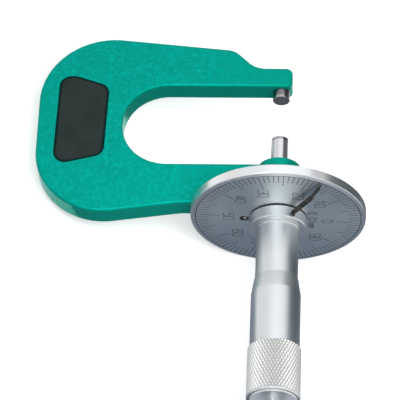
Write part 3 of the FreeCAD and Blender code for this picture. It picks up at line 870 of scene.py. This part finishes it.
knobSizes = {
    "bore": 3.9,
    "wall": 2.0,            # at the end
    "stemBore": 1.72,
    "recessRadius": 2.8,
    "recessDepth": 1.0,
    "bevel": 0.5,
    "plain": 0.9,           # smooth ring before the knurl, with the relief
    "relief": 0.3,
    "lastRing": (0.02, 0.04),       # how far past the knurl, and below its crest
    "crest": 5.0,
    "grooveDepth": 0.32,
    "crestShare": 0.85,
    "diamonds": 26,
    "halfRows": 12,
    "stepsPerHalf": 2,
    "sharpAngle": 6,
}


def makeKnurledKnob(values):
    low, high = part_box("ratchet_knob")
    length = (high.y - low.y) / mm
    start = Vector((axisPlace.x, high.y, axisPlace.z))
    count = values["diamonds"] * 2 * values["stepsPerHalf"]
    crest, bevel = values["crest"], values["bevel"]
    groove = crest - values["grooveDepth"]
    knurlStart = bevel + values["plain"]
    knurlEnd = length - bevel
    front = [
        (0, values["bore"]),
        (0, crest - bevel),
        (bevel, crest),
        (knurlStart - values["relief"], crest),
        (knurlStart - values["relief"], groove),
        (knurlStart, groove),
    ]
    band = knurlRows(values, knurlStart, knurlEnd - knurlStart, count)
    past, below = values["lastRing"]
    end = [
        (knurlEnd + past, crest - below),
        (length, crest - bevel),
        (length, values["recessRadius"]),
        (length - values["recessDepth"], values["recessRadius"]),
        (length - values["recessDepth"], values["stemBore"]),
        (length - values["wall"], values["stemBore"]),
        (length - values["wall"], values["bore"]),
    ]
    knurl = (len(front), len(band) - 1, values["stepsPerHalf"])
    mesh = makeTurnedMesh("knurled_knob", front + band + end, count, start, knurl)
    finishKnurled(mesh, start, knurlStart, knurlEnd, values, knobFinish)
    newPiece("knurled_knob", mesh, "ratchet", ["ratchet_knob"])
    return mesh


knobMesh = makeKnurledKnob(knobSizes)
print("knob knurled:", len(knobMesh.polygons), "faces")


# Painted shade: a dark bead in the gap round each grip pad, put there for the shadow in that gap

shadeBeadSizes = {
    "padStand": 0.45,       # the pad's face over the plate's
    # the bead's section: distance from the pad's side, height over the plate
    "section": [(0.02, -0.50), (0.02, 0.00), (0.10, 0.13), (0.38, 0.17), (0.66, 0.10), (0.78, -0.02),
                (0.48, -0.06), (0.48, -0.50)],
    "shortest": 0.02,       # points of the pad's outline that lie closer are one
    "sharpAngle": 40,
}


# The bead follows the pad's outline, which is convex, on the side that outward looks to
def makePadShadeBead(padName, outward, values):
    corners = [v.co for v in nodes[padName].data.vertices]
    plate = max(corner.dot(outward) for corner in corners) - values["padStand"] * mm
    flat = [Vector((corner.dot(sideways), corner.dot(along))) for corner in corners]
    outline = [flat[i] for i in geometry.convex_hull_2d(flat)]
    shortest = values["shortest"] * mm
    outline = [point for i, point in enumerate(outline) if (point - outline[i - 1]).length > shortest]
    turn = 1 if sum(outline[i - 1].cross(point) for i, point in enumerate(outline)) > 0 else -1
    bm = bmesh.new()
    rings = []
    for i, point in enumerate(outline):
        after = outline[(i + 1) % len(outline)]
        run = (after - point).normalized() + (point - outline[i - 1]).normalized()
        away = Vector((run.y, -run.x)).normalized() * turn
        ring = []
        for reach, height in values["section"]:
            spot = point + away * reach * mm
            ring.append(bm.verts.new(sideways * spot.x + along * spot.y + outward * (plate + height * mm)))
        rings.append(ring)
    for i, ring in enumerate(rings):
        before = rings[i - 1]
        for j in range(len(ring)):
            bm.faces.new((before[j - 1], before[j], ring[j], ring[j - 1]))
    bmesh.ops.recalc_face_normals(bm, faces=bm.faces)
    name = padName.replace("pad", "pad_shade_bead")
    mesh = bpy.data.meshes.new(name)
    bm.to_mesh(mesh)
    bm.free()
    mesh.materials.append(shadeBeadFinish)
    shadeByAngle(mesh, values["sharpAngle"])
    newPiece(name, mesh, "frame_body", [])
    return mesh


# painted shade round the front and back pads
shadeBeadMeshes = [makePadShadeBead("front_pad", forward, shadeBeadSizes), makePadShadeBead("back_pad", -forward, shadeBeadSizes)]
print("pads shadeBeaded:", sum(len(mesh.polygons) for mesh in shadeBeadMeshes), "faces")


# Bench, lamps and the cards whose reflection shades the bright metal

def newCard(name, centre, normal, up, width, height, mat):
    normal = Vector(normal).normalized()
    up = Vector(up)
    right = up.cross(normal).normalized()
    top = normal.cross(right)
    centre = Vector(centre)
    signs = ((-1, -1), (1, -1), (1, 1), (-1, 1))
    corners = [centre + right * width / 2 * a + top * height / 2 * b for a, b in signs]
    mesh = bpy.data.meshes.new(name)
    mesh.from_pydata([tuple(c) for c in corners], [], [(0, 1, 2, 3)])
    mesh.materials.append(mat)
    ob = bpy.data.objects.new(name, mesh)
    bpy.context.scene.collection.objects.link(ob)
    return ob


bench = {
    "size": 8.0,
    "tone": colour(0.80, 0.80, 0.80),
    "lift": 0.50,           # white that camera, metal and glass see, so that the bench meets the sky
    "roughness": 0.9,
    "specular": 0.1,
    "grainSize": 0.004,
    "grainStrength": 0.05,
    "grainDepth": 0.0001,
}


def makeBench(values):
    mat, tree, shader = newMaterial("benchPaper")
    grain = addNoise(tree, objectPlace(tree), 1 / values["grainSize"], 2.0)
    bump = addBump(tree, grain, values["grainStrength"], values["grainDepth"])
    tree.links.new(bump, shader.inputs["Normal"])
    shader.inputs["Base Color"].default_value = values["tone"]
    shader.inputs["Roughness"].default_value = values["roughness"]
    shader.inputs["Specular IOR Level"].default_value = values["specular"]
    shader.inputs["Emission Color"].default_value = colour(1, 1, 1)
    lift = addMath(tree, "MULTIPLY", seenDirectly(tree), values["lift"])
    tree.links.new(lift, shader.inputs["Emission Strength"])
    newCard("bench", (0, 0, loadedBox[0].z), (0, 0, 1), (0, 1, 0), values["size"], values["size"], mat)


# Only metal and gloss see these, and glow is the light that each gives
reflectionCards = {
    "right": {"centre": (0.125, 0.0125, 0.068), "normal": (-1, 0, 0), "width": 0.085, "height": 0.156,
              "glow": colour(0.055, 0.090, 0.105)},
    "rightFar": {"centre": (0.125, 0.1525, 0.068), "normal": (-1, 0, 0), "width": 0.195, "height": 0.156,
                 "glow": colour(0.16, 0.165, 0.17)},
    "rightHigh": {"centre": (0.125, 0.170, 0.18), "normal": (-1, 0, 0), "width": 0.132, "height": 0.12,
                  "glow": colour(0.10, 0.10, 0.11)},
    "top": {"centre": (0.0, 0.47, 1.0), "normal": (0, 0, -1), "width": 1.2, "height": 0.75,
            "glow": colour(1.26, 1.28, 1.30)},
    "front": {"centre": (0.10, -0.42, 0.72), "normal": (-0.1, 0.5, -0.86), "width": 0.9, "height": 0.5,
              "glow": colour(1.30, 1.32, 1.30)},
    "edge": {"centre": (-0.34, -0.38, 0.90), "normal": (0.30, 0.36, -0.90), "width": 0.46, "height": 0.32,
             "glow": colour(6.6, 6.8, 7.0)},
    "left": {"centre": (-0.22, -0.12, 0.05), "normal": (1, 0, 0), "width": 0.24, "height": 0.14,
             "glow": colour(0.25, 0.31, 0.39)},
    "low": {"centre": (0.0225, -0.0345, 0.0005), "normal": (0, 0, 1), "width": 0.205, "height": 0.081,
            "glow": colour(0.196, 0.228, 0.282)},
    "lowArm": {"centre": (0.055, 0.033, 0.0005), "normal": (0, 0, 1), "width": 0.14, "height": 0.054,
               "glow": colour(0.17, 0.19, 0.22)},
    "lowEnd": {"centre": (0.03, -0.098, 0.0005), "normal": (0, 0, 1), "width": 0.20, "height": 0.045,
               "glow": colour(0.50, 0.54, 0.60)},
}


def makeCards(values):
    for name, card in values.items():
        mat = bpy.data.materials.new(name + "Card")
        mat.use_nodes = True
        tree = mat.node_tree
        tree.nodes.clear()
        level = max(card["glow"][:3])
        tint = colour(*(part / level for part in card["glow"][:3]))
        glow = addNode(tree, "Emission", {"Color": tint, "Strength": level})
        out = addNode(tree, "OutputMaterial")
        tree.links.new(glow.outputs[0], out.inputs["Surface"])
        up = (0, 1, 0) if abs(card["normal"][2]) > 0.9 else (0, 0, 1)
        ob = newCard(name + "Card", card["centre"], card["normal"], up, card["width"], card["height"], mat)
        ob.visible_camera = False
        ob.visible_diffuse = False
        ob.visible_shadow = False
        ob.visible_transmission = False


lamps = {
    "topBox": {"place": (-0.10, 0.35, 1.25), "aim": (0.0, 0.0, 0.03), "width": 1.5, "height": 1.6,
               "power": 3.3, "shines": False},
    "keyBox": {"place": (-0.45, 0.0, 1.15), "aim": (0.0, 0.0, 0.03), "width": 0.5, "height": 0.5,
               "power": 2.0, "shines": True},
    "heelBox": {"place": (0.02, -0.06, 0.21), "aim": (-0.02, -0.02, 0.03), "width": 0.14, "height": 0.14,
                "power": 0.36, "shines": False},
}


def makeLamps(values):
    for name, lamp in values.items():
        light = bpy.data.lights.new(name, "AREA")
        light.shape = "RECTANGLE"
        light.size = lamp["width"]
        light.size_y = lamp["height"]
        light.energy = lamp["power"]
        ob = bpy.data.objects.new(name, light)
        ob.location = lamp["place"]
        aim = Vector(lamp["aim"]) - Vector(lamp["place"])
        ob.rotation_mode = "QUATERNION"
        ob.rotation_quaternion = aim.to_track_quat("-Z", "Y")
        ob.visible_glossy = lamp["shines"]
        bpy.context.scene.collection.objects.link(ob)


skyLevels = {"seen": 1.0, "fill": 0.40}


# White where the camera, metal or glass sees it, and a plain fill elsewhere
def makeSky(values):
    world = bpy.data.worlds.new("sky")
    bpy.context.scene.world = world
    world.use_nodes = True
    tree = world.node_tree
    tree.nodes.clear()
    strength = addRange(tree, seenDirectly(tree), 0.0, 1.0, values["fill"], values["seen"])
    background = addNode(tree, "Background", {"Color": colour(1, 1, 1), "Strength": strength})
    out = addNode(tree, "OutputWorld")
    tree.links.new(background.outputs[0], out.inputs["Surface"])


makeBench(bench)
makeCards(reflectionCards)
makeLamps(lamps)
makeSky(skyLevels)
print("bench, cards, lamps and sky made")


cameraView = {
    "place": (31.0, -847.4, -487.6),      # mm: to the open side, to the back and along the spindle
    "looks": (-0.0609, 0.8618, 0.5036),
    "up": (-0.0089, -0.5050, 0.8631),
    "lens": 240.7,
    "sensor": 36.0,
    "near": 0.05,                         # m, and nothing past far is seen
    "far": 20,
}


def makeCamera(values):
    data = bpy.data.cameras.new("photoCamera")
    data.lens = values["lens"]
    data.sensor_width = values["sensor"]
    data.clip_start = values["near"]
    data.clip_end = values["far"]
    ob = bpy.data.objects.new("photoCamera", data)
    place, looks, up = (sideways * x - forward * y + along * z for x, y, z in
                        (values["place"], values["looks"], values["up"]))
    looks.normalize()
    right = looks.cross(up).normalized()
    turn = Matrix((right, right.cross(looks), -looks)).transposed()
    ob.matrix_world = Matrix.Translation(dialCentre + place * mm) @ turn.to_4x4()
    bpy.context.scene.collection.objects.link(ob)
    bpy.context.scene.camera = ob


makeCamera(cameraView)
bpy.context.scene.view_settings.view_transform = "Standard"
print("camera placed")
